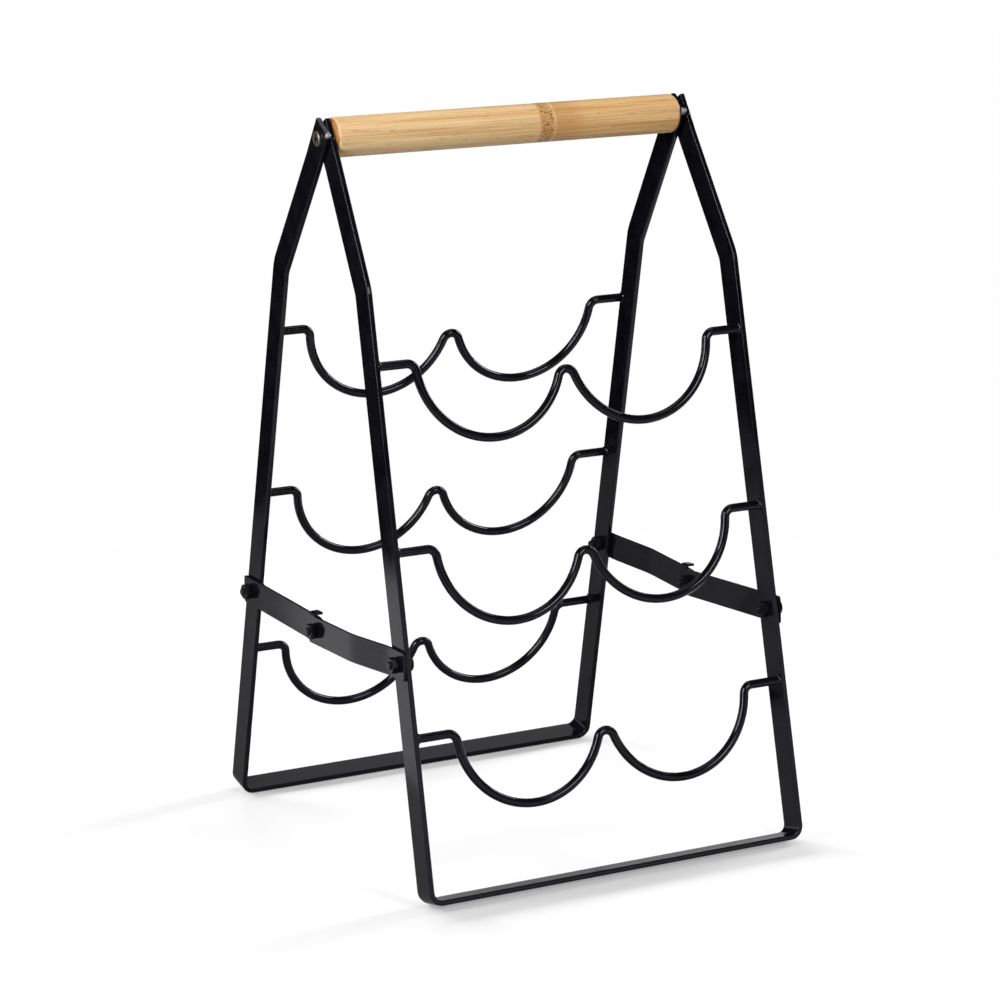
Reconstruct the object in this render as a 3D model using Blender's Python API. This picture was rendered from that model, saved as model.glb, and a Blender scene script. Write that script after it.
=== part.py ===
"""Folding wine rack: two bent flat-bar frames that carry scooped wire cradles, hinged at a wooden handle.

Metres, +Z up. The rack stands open on the ground plane, its width along X and its front towards -Y. The
origin is on the ground under the middle of the handle.
"""
import math

import bmesh
import bpy
from mathutils import Matrix, Vector

# Gaps that every piece shares
SEAT_GAP = 0.0003
RUNNING_GAP = 0.0004
CUT_OVERRUN = 0.002
SMOOTH_ANGLE = math.radians(35)

# Flat-bar frames
FRAME_WIDTH = 0.240
TOP_DRAWN_IN = 0.0034
UPPER_DRAWN_IN = 0.002
BAR_WIDTH = 0.016
BAR_THICKNESS = 0.003
BAR_EDGE_RADIUS = 0.0005
FOOT_BEND_RADIUS = 0.005
LOWER_LEG = 0.335
UPPER_LEG = 0.0915
PARALLEL_TOP = 0.016
KNEE_RADIUS = 0.018
KNEE_ANGLE = math.radians(19.85)
OPEN_LEAN = math.radians(12.4)
TOP_OVERHANG = 0.0082
EDGE_STEPS = 2
FOOT_BEND_STEPS = 6
KNEE_STEPS = 4

# Wire cradles
WIRE_DIAMETER = 0.005
WIRE_BEND_RADIUS = 0.0053
WIRE_EDGE_INSET = 0.0005
SCOOP_RADIUS = 0.045
PEAK_ANGLE = math.radians(20.05)
FIRST_CRADLE_HEIGHT = 0.0915
CRADLE_PITCH = 0.101
CRADLE_TIERS = ("bottom", "middle", "top")
WIRE_SIDES = 10
SHOULDER_STEPS = 5
SCOOP_STEPS = 18
PEAK_STEPS = 3

# Wooden handle and the screws it turns on
HANDLE_DIAMETER = 0.0222
HANDLE_END_RADIUS = 0.003
HANDLE_SIDES = 40
HANDLE_END_STEPS = 4
SCREW_DIAMETER = 0.0045
SCREW_CLEARANCE = 0.0003
SCREW_LENGTH = 0.032
SCREW_POINT = 0.006
SCREW_POINT_SHARE = 0.06
SCREW_HEAD_DIAMETER = 0.009
SCREW_HEAD_HEIGHT = 0.0022
SCREW_HEAD_RIM = 0.0007
SCREW_DOME_SHARES = (0.85, 0.6, 0.3)
SCREW_SIDES = 24

# Folding braces
BRACE_UP_LEG = 0.1325
LEFT_BRACE_SAG = 0.002
RIGHT_BRACE_SAG = 0.0055
LINK_WIDTH = 0.016
LINK_THICKNESS = 0.0015
LINK_END = 0.008
LINK_CORNER_RADIUS = 0.0015
LINK_CORNER_STEPS = 3
LINK_ROUND_STEPS = 6
SET_START = 0.010
SET_END = 0.044
SET_STEPS = 8
TAB_START = 0.0002
TAB_END = 0.007
TAB_DEPTH = 0.004
TAB_BEND_STEPS = 4

# Brace bolts and nuts, the same size at every pivot
BOLT_DIAMETER = 0.005
BOLT_CLEARANCE = 0.0003
LEFT_BOLT_TIP = 0.0012
RIGHT_BOLT_TIP = 0.003
BOLT_END_CHAMFER = 0.0005
BOLT_HEAD_HEIGHT = 0.0035
HEX_FLATS = 0.008
HEX_CHAMFER = 0.0004
NUT_HEIGHT = 0.004
BOLT_SIDES = 24

# Places worked out from the sizes above
STAGGER = BAR_THICKNESS + RUNNING_GAP
KNEE_DROP = UPPER_LEG * math.cos(KNEE_ANGLE)
LEG_DROP = KNEE_DROP + LOWER_LEG
LEG_OUT = UPPER_LEG * math.sin(KNEE_ANGLE)
PARALLEL_DROP = PARALLEL_TOP * math.cos(KNEE_ANGLE)
BRACE_DROP = LEG_DROP - BRACE_UP_LEG
LINK_SET = STAGGER + LINK_THICKNESS + SEAT_GAP

COLOURS = {
    "black_powder_coat": ((0.012, 0.012, 0.014), 0.38, 0.0),
    "black_zinc": ((0.008, 0.008, 0.009), 0.42, 0.6),
    "bamboo": ((0.64, 0.43, 0.20), 0.55, 0.0),
    "yellow_zinc": ((0.55, 0.47, 0.30), 0.35, 1.0),
}


def clear_scene():
    for thing in list(bpy.data.objects):
        bpy.data.objects.remove(thing, do_unlink=True)


def new_material(node_name, finish):
    """Each sub-part has a material of its own, coloured by the finish that it shares with its like."""
    colour, roughness, metallic = COLOURS[finish]
    material = bpy.data.materials.new(f"{node_name}_{finish}")
    material.use_nodes = True
    shader = material.node_tree.nodes["Principled BSDF"]
    shader.inputs["Base Color"].default_value = (*colour, 1)
    shader.inputs["Roughness"].default_value = roughness
    shader.inputs["Metallic"].default_value = metallic
    return material


def new_object(name, shape, finish=None):
    """An object from a bmesh. One with no finish is a hidden tool for a Boolean."""
    mesh = bpy.data.meshes.new(name)
    bmesh.ops.recalc_face_normals(shape, faces=shape.faces[:])
    shape.to_mesh(mesh)
    shape.free()
    mesh.shade_smooth()
    mesh.set_sharp_from_angle(angle=SMOOTH_ANGLE)
    thing = bpy.data.objects.new(name, mesh)
    bpy.context.collection.objects.link(thing)
    if finish:
        mesh.materials.append(new_material(name, finish))
    else:
        thing.hide_render = True
        thing.display_type = "WIRE"
    return thing


def loft(rings, closed=False):
    """Joins equal rings of points in order: capped at both ends, or, if closed, back to the first ring."""
    shape = bmesh.new()
    loops = [[shape.verts.new(point) for point in ring] for ring in rings]
    pairs = list(zip(loops, loops[1:]))
    if closed:
        pairs.append((loops[-1], loops[0]))
    for first, second in pairs:
        for i in range(len(first)):
            j = (i + 1) % len(first)
            shape.faces.new((first[i], first[j], second[j], second[i]))
    if not closed:
        shape.faces.new(loops[0])
        shape.faces.new(loops[-1])
    return shape


def circle(x, radius, sides=BOLT_SIDES):
    """A ring of points about the X axis."""
    turns = [2 * math.pi * i / sides for i in range(sides)]
    return [Vector((x, radius * math.cos(turn), radius * math.sin(turn))) for turn in turns]


def hexagon(x, flats):
    """A ring of as many points as a bolt's, along a hexagon with a corner at the top."""
    ring = []
    for i in range(BOLT_SIDES):
        turn = 2 * math.pi * i / BOLT_SIDES
        from_flat = (turn + math.pi / 6) % (math.pi / 3) - math.pi / 6
        radius = flats / 2 / math.cos(from_flat)
        ring.append(Vector((x, radius * math.cos(turn), radius * math.sin(turn))))
    return ring


def arc(centre, radius, start, end, steps):
    """Points along an arc in the XZ plane, each with the ray from the centre that it lies on."""
    found = []
    for i in range(steps + 1):
        turn = start + (end - start) * i / steps
        ray = Vector((math.cos(turn), 0, math.sin(turn)))
        found.append((centre + radius * ray, ray))
    return found


def corner(across, up, radius, start, steps):
    """Points of a quarter turn about a place in a plane of two axes."""
    turns = [start + math.pi / 2 * i / steps for i in range(steps + 1)]
    return [(across + radius * math.cos(turn), up + radius * math.sin(turn)) for turn in turns]


def combine(target, tool, operation):
    """Adds a Boolean with a hidden tool, which rides on its target."""
    tool.parent = target
    modifier = target.modifiers.new(tool.name, "BOOLEAN")
    modifier.operation = operation
    modifier.solver = "EXACT"
    modifier.object = tool


def drill(target, name, x_start, x_end, diameter, y=0.0, z=0.0):
    shape = loft([circle(x_start, diameter / 2), circle(x_end, diameter / 2)])
    bmesh.ops.translate(shape, vec=(0, y, z), verts=shape.verts)
    combine(target, new_object(f"{target.name}_{name}", shape), "DIFFERENCE")


# Bent flat-bar frames
#
# A frame's own axes have the handle screws' axis as X, the lower legs upright and the outer side at -Y.
def drawn_in(z):
    """How far each leg has come in towards the handle at this height in the frame's own axes.

    Above the knee it comes in faster, up to where the two frames' legs overlap at the handle.
    """
    upper_share = min(max((z + KNEE_DROP) / (KNEE_DROP - PARALLEL_DROP), 0), 1)
    return TOP_DRAWN_IN * (z + LEG_DROP) / LEG_DROP + UPPER_DRAWN_IN * upper_share


def half_width(z):
    """Half the frame's outer width at this height in its own axes."""
    return FRAME_WIDTH / 2 - drawn_in(z)


def leg_face(side, facing, z):
    """World X of the outer face of the leg on this side of the frame that faces -Y (1) or +Y (-1)."""
    return facing * STAGGER / 2 + side * half_width(z)


def leg_is_inner(side, facing):
    """The frames are staggered along X, so on each side one leg stands outside the other."""
    return side != facing


def bar_section():
    """The bar's section with its rolled edges rounded, as offsets across its width and its thickness."""
    u = BAR_WIDTH / 2 - BAR_EDGE_RADIUS
    v = BAR_THICKNESS / 2 - BAR_EDGE_RADIUS
    section = []
    for quarter, (side_u, side_v) in enumerate(((1, 1), (-1, 1), (-1, -1), (1, -1))):
        section += corner(side_u * u, side_v * v, BAR_EDGE_RADIUS, quarter * math.pi / 2, EDGE_STEPS)
    return section


def apex_height():
    """Height of the screws' axis that puts the lowest edges of the leaning foot bars on the ground."""
    heights = []
    for u, v in bar_section():
        y = -LEG_OUT - u
        z = BAR_THICKNESS / 2 - LEG_DROP - v
        heights.append(z * math.cos(OPEN_LEAN) - y * math.sin(OPEN_LEAN))
    return -min(heights)


def in_world(facing, y, z):
    """World Y and Z of a place in a standing frame's own axes."""
    turned_y = y * math.cos(OPEN_LEAN) + z * math.sin(OPEN_LEAN)
    turned_z = z * math.cos(OPEN_LEAN) - y * math.sin(OPEN_LEAN)
    return facing * turned_y, turned_z + apex_height()


def leg_stations():
    """Stations down the leg at -X, from its top end to the foot bend: place, width axis, thickness axis."""
    across = Vector((-1, 0, 0))
    side = Vector((BAR_THICKNESS / 2 - FRAME_WIDTH / 2, 0, 0))
    down = Vector((0, -math.sin(KNEE_ANGLE), -math.cos(KNEE_ANGLE)))
    outward = Vector((0, -math.cos(KNEE_ANGLE), math.sin(KNEE_ANGLE)))
    stations = [(side + reach * down, outward, across) for reach in (-TOP_OVERHANG, PARALLEL_TOP)]
    knee_start = side + (UPPER_LEG - KNEE_RADIUS * math.tan(KNEE_ANGLE / 2)) * down
    knee_centre = knee_start - KNEE_RADIUS * outward
    for i in range(KNEE_STEPS + 1):
        turn = KNEE_ANGLE * (1 - i / KNEE_STEPS)
        outward = Vector((0, -math.cos(turn), math.sin(turn)))
        stations.append((knee_centre + KNEE_RADIUS * outward, outward, across))
    radius = FOOT_BEND_RADIUS + BAR_THICKNESS / 2
    bend_centre = Vector((side.x + radius, -LEG_OUT, BAR_THICKNESS / 2 + radius - LEG_DROP))
    for place, ray in arc(bend_centre, radius, math.pi, 3 * math.pi / 2, FOOT_BEND_STEPS):
        stations.append((place, outward, ray))
    return [(place + Vector((drawn_in(place.z), 0, 0)), width, thickness)
            for place, width, thickness in stations]


def build_frame_bar(name):
    """One flat bar bent into two legs and the foot between them, with the handle and brace holes."""
    left = leg_stations()
    flip = Matrix.Diagonal((-1, 1, 1))
    right = [(flip @ place, width, flip @ thickness) for place, width, thickness in reversed(left)]
    rings = []
    for place, width, thickness in left + right:
        rings.append([place + u * width + v * thickness for u, v in bar_section()])
    bar = new_object(name, loft(rings), "black_powder_coat")
    reach = FRAME_WIDTH / 2 + CUT_OVERRUN
    drill(bar, "screw_holes", -reach, reach, SCREW_DIAMETER + 2 * SCREW_CLEARANCE)
    drill(bar, "brace_holes", -reach, reach, BOLT_DIAMETER + 2 * BOLT_CLEARANCE, y=-LEG_OUT, z=-BRACE_DROP)
    return bar


def build_frame(name, facing):
    """A frame and its cradles, turned about the screws' axis to its standing lean."""
    bar = build_frame_bar(f"{name}_frame_bar")
    bar.location = (facing * STAGGER / 2, 0, apex_height())
    bar.rotation_euler = (-OPEN_LEAN, 0, 0 if facing > 0 else math.pi)
    for tier, tier_name in enumerate(CRADLE_TIERS):
        z = FIRST_CRADLE_HEIGHT + tier * CRADLE_PITCH - LEG_DROP
        build_cradle(f"{name}_cradle_{tier_name}", z).parent = bar


# Wire cradles
def cradle_path(z):
    """The wire's centre line: stub, shoulder, scoop, peak, scoop, shoulder, stub, as (place, normal)."""
    reach = SCOOP_RADIUS + WIRE_BEND_RADIUS
    shoulder_turn = math.asin(WIRE_BEND_RADIUS / reach)
    scoop = Vector((-reach * math.cos(PEAK_ANGLE), 0, 0))
    shoulder = scoop - reach * Vector((math.cos(shoulder_turn), 0, math.sin(shoulder_turn)))
    peak = Vector((0, 0, -reach * math.sin(PEAK_ANGLE)))
    path = [(Vector((BAR_THICKNESS + SEAT_GAP - half_width(z), 0, 0)), Vector((0, 0, 1)))]
    path += arc(shoulder, WIRE_BEND_RADIUS, math.pi / 2, shoulder_turn, SHOULDER_STEPS)
    bowl = arc(scoop, SCOOP_RADIUS, math.pi + shoulder_turn, 2 * math.pi - PEAK_ANGLE, SCOOP_STEPS)
    path += [(place, -ray) for place, ray in bowl[1:]]
    path += arc(peak, WIRE_BEND_RADIUS, math.pi - PEAK_ANGLE, math.pi / 2, PEAK_STEPS)[1:]
    flip = Matrix.Diagonal((-1, 1, 1))
    return path + [(flip @ place, flip @ normal) for place, normal in reversed(path[:-1])]


def build_cradle(name, z):
    """A bent wire welded by its two ends to the legs' inner faces, close to their outer edges."""
    seat = Vector((0, WIRE_EDGE_INSET + WIRE_DIAMETER / 2 - BAR_WIDTH / 2 - LEG_OUT, z))
    through = Vector((0, 1, 0))
    turns = [2 * math.pi * (i + 0.5) / WIRE_SIDES for i in range(WIRE_SIDES)]
    rings = []
    for place, normal in cradle_path(z):
        spokes = [math.cos(turn) * normal + math.sin(turn) * through for turn in turns]
        rings.append([seat + place + WIRE_DIAMETER / 2 * spoke for spoke in spokes])
    return new_object(name, loft(rings), "black_powder_coat")


# Wooden handle and its screws
def build_handle():
    """A dowel with eased ends that fits between the inner one of the two legs at each end."""
    reach = half_width(0) - STAGGER / 2 - BAR_THICKNESS - SEAT_GAP
    eased = corner(HANDLE_END_RADIUS - reach, HANDLE_DIAMETER / 2 - HANDLE_END_RADIUS,
                   HANDLE_END_RADIUS, math.pi / 2, HANDLE_END_STEPS)
    stations = eased[::-1] + [(-x, radius) for x, radius in eased]
    grip = new_object("handle_grip", loft([circle(x, r, HANDLE_SIDES) for x, r in stations]), "bamboo")
    grip.location = (0, 0, apex_height())
    bite = screw_seat() - SCREW_LENGTH - SEAT_GAP
    bore = SCREW_DIAMETER + 2 * SCREW_CLEARANCE
    drill(grip, "left_pilot_bore", -reach - CUT_OVERRUN, -bite, bore)
    drill(grip, "right_pilot_bore", bite, reach + CUT_OVERRUN, bore)


def screw_seat():
    """Distance from the middle to the underside of a screw's head, on the outermost leg."""
    return half_width(0) + STAGGER / 2 + SEAT_GAP


def build_handle_screw(name, side):
    """A pan-head wood screw through both legs into the handle's end; they turn on its plain shank."""
    seat = screw_seat()
    radius = SCREW_DIAMETER / 2
    rim = SCREW_HEAD_DIAMETER / 2
    crown = SCREW_HEAD_HEIGHT - SCREW_HEAD_RIM
    dome = (rim ** 2 + crown ** 2) / 2 / crown
    start = seat - SCREW_LENGTH
    stations = [(start, radius * SCREW_POINT_SHARE), (start + SCREW_POINT, radius), (seat, radius)]
    stations += [(seat, rim), (seat + SCREW_HEAD_RIM, rim)]
    for share in SCREW_DOME_SHARES:
        edge = rim * share
        stations.append((seat + SCREW_HEAD_HEIGHT - dome + math.sqrt(dome ** 2 - edge ** 2), edge))
    rings = [circle(side * x, r, SCREW_SIDES) for x, r in stations]
    new_object(name, loft(rings), "yellow_zinc").location = (0, 0, apex_height())


# Folding braces
#
# A link's own axes have its leg bolt as X and run along +Y to the middle bolt. Its seat on the leg is at
# X = 0. On each side the front link lies on the -X side of the back link, which a stop tab reaches over.
def brace_seat(facing):
    """World Y and Z of a leg's brace bolt."""
    return in_world(facing, -LEG_OUT, -BRACE_DROP)


def brace_sag(side):
    """How far the middle bolt has sunk below the leg bolts when the stop tab holds the links."""
    return LEFT_BRACE_SAG if side < 0 else RIGHT_BRACE_SAG


def link_length(side):
    y, _ = brace_seat(-1)
    return math.hypot(y, brace_sag(side))


def link_slope(side):
    y, _ = brace_seat(-1)
    return math.atan2(brace_sag(side), y)


def link_seat(side, facing):
    """World X of the link's face that lies on its leg."""
    return leg_face(side, facing, -BRACE_DROP) + side * SEAT_GAP


def link_outline(length, rounded):
    """Outline of a link: square ends with eased corners, or a full round at the middle bolt."""
    radius = LINK_CORNER_RADIUS
    edge = LINK_WIDTH / 2 - radius
    near = radius - LINK_END
    far = length + LINK_END - radius
    if rounded:
        outline = corner(length, 0, LINK_WIDTH / 2, -math.pi / 2, LINK_ROUND_STEPS)
        outline += corner(length, 0, LINK_WIDTH / 2, 0, LINK_ROUND_STEPS)[1:]
    else:
        outline = corner(far, -edge, radius, -math.pi / 2, LINK_CORNER_STEPS)
        outline += corner(far, edge, radius, 0, LINK_CORNER_STEPS)
    outline += corner(near, edge, radius, math.pi / 2, LINK_CORNER_STEPS)
    outline += corner(near, -edge, radius, math.pi, LINK_CORNER_STEPS)
    return outline


def set_sideways(shape, offset):
    """Cranks the link over in a smooth S, so that its middle end passes outside the other link."""
    for i in range(SET_STEPS + 1):
        y = SET_START + (SET_END - SET_START) * i / SET_STEPS
        everything = shape.verts[:] + shape.edges[:] + shape.faces[:]
        bmesh.ops.bisect_plane(shape, geom=everything, plane_co=(0, y, 0), plane_no=(0, 1, 0))
    for vert in shape.verts:
        share = min(max((vert.co.y - SET_START) / (SET_END - SET_START), 0), 1)
        vert.co.x += offset * (1 - math.cos(math.pi * share)) / 2


def stop_tab(name, side, x):
    """A tab that turns over the back link's upper edge and stops the braces from sinking further."""
    fold = 2 * link_slope(side)
    under = LINK_WIDTH / 2 / math.cos(fold) + TAB_END * math.tan(fold) + SEAT_GAP
    inner = x + LINK_THICKNESS
    foot = LINK_WIDTH / 2 - LINK_THICKNESS
    outline = [(x, foot)]
    outline += reversed(corner(inner, under, LINK_THICKNESS, math.pi / 2, TAB_BEND_STEPS))
    outline += [(x + TAB_DEPTH, under + LINK_THICKNESS), (x + TAB_DEPTH, under), (inner, under), (inner, foot)]
    rings = []
    for y in (link_length(side) + TAB_START, link_length(side) + TAB_END):
        rings.append([Vector((point_x, y, point_z)) for point_x, point_z in outline])
    return new_object(name, loft(rings))


def build_link(name, side, facing):
    """A flat link from one leg to the middle bolt; the one on an inner leg is cranked outwards."""
    near = 0.0 if side > 0 else -LINK_THICKNESS
    offset = side * LINK_SET if leg_is_inner(side, facing) else 0.0
    outline = link_outline(link_length(side), rounded=facing < 0)
    shape = loft([[Vector((x, y, z)) for y, z in outline] for x in (near, near + LINK_THICKNESS)])
    if offset:
        set_sideways(shape, offset)
    link = new_object(name, shape, "black_powder_coat")
    if facing > 0:
        combine(link, stop_tab(f"{name}_stop_tab", side, near + offset), "UNION")
    reach = LINK_THICKNESS + LINK_SET + CUT_OVERRUN
    bore = BOLT_DIAMETER + 2 * BOLT_CLEARANCE
    drill(link, "leg_hole", -reach, reach, bore)
    drill(link, "middle_hole", -reach, reach, bore, y=link_length(side))
    y, z = brace_seat(facing)
    link.location = (link_seat(side, facing), y, z)
    slope = link_slope(side)
    link.rotation_euler = (-slope if facing > 0 else math.pi + slope, 0, 0)


# Brace bolts and nuts
#
# Every bolt's head is at its +X end and every nut at its -X end. Each has its own bolt's axis as X.
def bolt_tip(side):
    """How far a bolt's threaded end stands out of its nut."""
    return LEFT_BOLT_TIP if side < 0 else RIGHT_BOLT_TIP


def head_rings(seat):
    top = seat + BOLT_HEAD_HEIGHT
    return [hexagon(seat, HEX_FLATS), hexagon(top - HEX_CHAMFER, HEX_FLATS),
            hexagon(top, HEX_FLATS - 2 * HEX_CHAMFER)]


def nut_rings(seat):
    """Rings of a nut's outside, from the face that clamps, at its +X side, to its free face."""
    top = seat - NUT_HEIGHT
    return [hexagon(seat, HEX_FLATS), hexagon(top + HEX_CHAMFER, HEX_FLATS),
            hexagon(top, HEX_FLATS - 2 * HEX_CHAMFER)]


def tip_rings(end):
    radius = BOLT_DIAMETER / 2
    return [circle(end + BOLT_END_CHAMFER, radius), circle(end, radius - BOLT_END_CHAMFER)]


def place_fastener(name, rings, y, z, closed=False):
    new_object(name, loft(rings, closed), "black_zinc").location = (0, y, z)


def build_bolt(name, end, seat, y, z):
    """A hex bolt from its threaded end to its head."""
    rings = tip_rings(end)[::-1] + [circle(seat, BOLT_DIAMETER / 2)] + head_rings(seat)
    place_fastener(name, rings, y, z)


def build_nut(name, seat, y, z):
    radius = BOLT_DIAMETER / 2 + BOLT_CLEARANCE
    rings = [circle(seat, radius)] + nut_rings(seat) + [circle(seat - NUT_HEIGHT, radius)]
    place_fastener(name, rings, y, z, closed=True)


def build_bolted_pivot(name, side, nut_seat, head_seat, y, z):
    """A whole bolt with its nut."""
    build_bolt(f"{name}_bolt", nut_seat - NUT_HEIGHT - bolt_tip(side), head_seat, y, z)
    build_nut(f"{name}_nut", nut_seat, y, z)


def build_parted_pivot(name, side, nut_seat, head_seat, nut_part_end, head_part_end, y, z):
    """A bolt parted between the leg and the link, each part ending flush with the face that it holds."""
    radius = BOLT_DIAMETER / 2
    rings = [circle(head_part_end, radius), circle(head_seat, radius)] + head_rings(head_seat)
    place_fastener(f"{name}_bolt", rings, y, z)
    rings = [circle(nut_part_end, radius), circle(nut_seat, radius)] + nut_rings(nut_seat)
    rings += [circle(nut_seat - NUT_HEIGHT, radius)]
    rings += tip_rings(nut_seat - NUT_HEIGHT - bolt_tip(side))
    place_fastener(f"{name}_nut", rings, y, z)


def leg_stack(side, facing):
    """World X of the faces at a leg's brace bolt: the leg's inner and outer, the link's seat and free face."""
    outer = leg_face(side, facing, -BRACE_DROP)
    seat = link_seat(side, facing)
    return outer - side * BAR_THICKNESS, outer, seat, seat + side * LINK_THICKNESS


def build_leg_pivots(side_name, side):
    inner, _, _, free = leg_stack(side, 1)
    y, z = brace_seat(1)
    seats = (min(inner, free) - SEAT_GAP, max(inner, free) + SEAT_GAP)
    build_bolted_pivot(f"front_{side_name}_brace", side, *seats, y, z)
    inner, outer, seat, free = leg_stack(side, -1)
    y, z = brace_seat(-1)
    seats = (min(inner, free) - SEAT_GAP, max(inner, free) + SEAT_GAP)
    ends = (seat, outer) if side < 0 else (outer, seat)
    build_parted_pivot(f"back_{side_name}_brace", side, *seats, *ends, y, z)


def build_middle_pivot(side_name, side):
    """The bolt that joins the two links, halfway between the frames and a little below their bolts."""
    flat = link_seat(side, side)
    cranked = link_seat(side, -side) + side * (LINK_SET + LINK_THICKNESS)
    _, z = brace_seat(1)
    seats = (min(flat, cranked) - SEAT_GAP, max(flat, cranked) + SEAT_GAP)
    build_bolted_pivot(f"middle_{side_name}_brace", side, *seats, 0, z - brace_sag(side))


def build_rack():
    clear_scene()
    build_frame("front", 1)
    build_frame("back", -1)
    build_handle()
    for side_name, side in (("left", -1), ("right", 1)):
        build_handle_screw(f"handle_screw_{side_name}", side)
        build_link(f"front_{side_name}_brace_link", side, 1)
        build_link(f"back_{side_name}_brace_link", side, -1)
        build_leg_pivots(side_name, side)
        build_middle_pivot(side_name, side)


build_rack()
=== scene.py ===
"""Folding wine rack, dressed for its picture. In metres, +Z up, open on the floor, its front towards -Y."""
import math

import bmesh
import bpy
from mathutils import Matrix, Vector, noise


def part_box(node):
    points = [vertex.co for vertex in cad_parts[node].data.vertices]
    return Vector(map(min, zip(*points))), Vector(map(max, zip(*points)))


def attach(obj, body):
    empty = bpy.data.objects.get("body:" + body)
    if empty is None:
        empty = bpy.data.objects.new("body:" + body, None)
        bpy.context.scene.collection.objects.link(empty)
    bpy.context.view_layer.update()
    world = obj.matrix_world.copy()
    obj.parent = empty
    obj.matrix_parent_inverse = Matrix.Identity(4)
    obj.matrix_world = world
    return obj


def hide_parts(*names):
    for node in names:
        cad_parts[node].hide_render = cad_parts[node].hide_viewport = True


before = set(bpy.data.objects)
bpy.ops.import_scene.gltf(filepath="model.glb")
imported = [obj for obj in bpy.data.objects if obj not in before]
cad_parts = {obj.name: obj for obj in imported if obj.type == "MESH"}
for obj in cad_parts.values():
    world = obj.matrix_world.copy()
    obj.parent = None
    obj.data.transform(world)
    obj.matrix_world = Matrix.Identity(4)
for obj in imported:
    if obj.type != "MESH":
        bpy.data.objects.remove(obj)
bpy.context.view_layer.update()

# Bent frames
# Each frame is one length of hot-rolled flat steel bar, cold bent at the knees and at the foot's corners,
# drilled for the handle's screws and the braces' bolts, and powder coated. The two are alike, and stand
# back to back, staggered by a little more than the bar's thickness so that their legs pass each other.
FRAME_WIDTH = 0.240
TOP_DRAWN_IN = 0.0034
UPPER_DRAWN_IN = 0.002
BAR_WIDTH = 0.016
BAR_THICKNESS = 0.003
BAR_EDGE_RADIUS = 0.0007
FOOT_BEND_RADIUS = 0.005
LOWER_LEG = 0.335
UPPER_LEG = 0.0915
PARALLEL_TOP = 0.016
KNEE_RADIUS = 0.018
KNEE_ANGLE = math.radians(19.85)
OPEN_LEAN = math.radians(12.4)
TOP_OVERHANG = 0.0082
CUT_END_EASE = 0.0003
SCREW_HOLE = 0.0051
BOLT_HOLE = 0.0056
BRACE_UP_LEG = 0.1325
STAGGER = 0.0034
LEG_DROP = UPPER_LEG * math.cos(KNEE_ANGLE) + LOWER_LEG
LEG_OUT = UPPER_LEG * math.sin(KNEE_ANGLE)
EDGE_STEPS = 4
KNEE_STEPS = 10
FOOT_STEPS = 14
HANDLE_HEIGHT = sum(corner[2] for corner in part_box("handle_grip")) / 2
SHARP = math.radians(40)
FACINGS = {"front": 1, "back": -1}
SIDES = {"left": -1, "right": 1}


def pull(shape, face, way):
    """Draws a face on along a straight, and returns the face that is then at the end."""
    geometry = [face] + face.edges[:] + face.verts[:]
    grown = bmesh.ops.extrude_face_region(shape, geom=geometry)["geom"]
    points = [part for part in grown if isinstance(part, bmesh.types.BMVert)]
    bmesh.ops.translate(shape, vec=way, verts=points)
    return next(part for part in grown if isinstance(part, bmesh.types.BMFace))


def bend(shape, face, centre, axis, angle, steps):
    """Draws a face on round a bend, and returns the face that is then at the end."""
    geometry = [face] + face.edges[:] + face.verts[:]
    turned = bmesh.ops.spin(shape, geom=geometry, cent=centre, axis=axis, angle=angle, steps=steps)
    return next(part for part in turned["geom_last"] if isinstance(part, bmesh.types.BMFace))


def ease(shape, edges, radius, segments):
    """Rounds edges."""
    bmesh.ops.bevel(shape, geom=edges, offset=radius, offset_type="OFFSET", segments=segments, profile=0.5,
                    affect="EDGES", material=-1)


def round_bar(x, y, z, diameter, length, sides=48):
    """A drill or a round bar along X, centred on a place."""
    shape = bmesh.new()
    turned = Matrix.Translation((x, y, z)) @ Matrix.Rotation(math.pi / 2, 4, "Y")
    bmesh.ops.create_cone(shape, cap_ends=True, segments=sides, radius1=diameter / 2, radius2=diameter / 2,
                          depth=length, matrix=turned)
    return shape


def bare_object(name, shape):
    """An object with a shape's mesh, as it is."""
    mesh = bpy.data.meshes.new(name)
    shape.to_mesh(mesh)
    shape.free()
    thing = bpy.data.objects.new(name, mesh)
    bpy.context.scene.collection.objects.link(thing)
    return thing


def carve(shape, tool, operation="DIFFERENCE"):
    """The shape once a tool has been cut from it, or kept to it."""
    work = bare_object("work", shape)
    cutter = bare_object("cutter", tool)
    cut = work.modifiers.new("cut", "BOOLEAN")
    cut.operation = operation
    cut.solver = "EXACT"
    cut.object = cutter
    bpy.context.view_layer.update()
    carved = bmesh.new()
    carved.from_object(work, bpy.context.evaluated_depsgraph_get())
    bpy.data.objects.remove(cutter, do_unlink=True)
    bpy.data.objects.remove(work, do_unlink=True)
    return carved


def finished(name, shape, finish, place=None):
    """A piece from a shape: outside out, rounds smooth, flats flat, in its finish and its place."""
    if place:
        bmesh.ops.transform(shape, matrix=place, verts=shape.verts)
    bmesh.ops.remove_doubles(shape, verts=shape.verts, dist=1e-6)
    bmesh.ops.recalc_face_normals(shape, faces=shape.faces)
    piece = bare_object(name, shape)
    piece.data.shade_smooth()
    piece.data.set_sharp_from_angle(angle=SHARP)
    piece.data.materials.append(finish)
    flats = piece.modifiers.new("flats", "WEIGHTED_NORMAL")
    flats.keep_sharp = True
    return piece


def linear(colour):
    """An sRGB hex colour as the linear one that a shader takes."""
    shares = [int(colour[i:i + 2], 16) / 255 for i in (1, 3, 5)]
    return [s / 12.92 if s <= 0.04045 else ((s + 0.055) / 1.055) ** 2.4 for s in shares] + [1]


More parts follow.
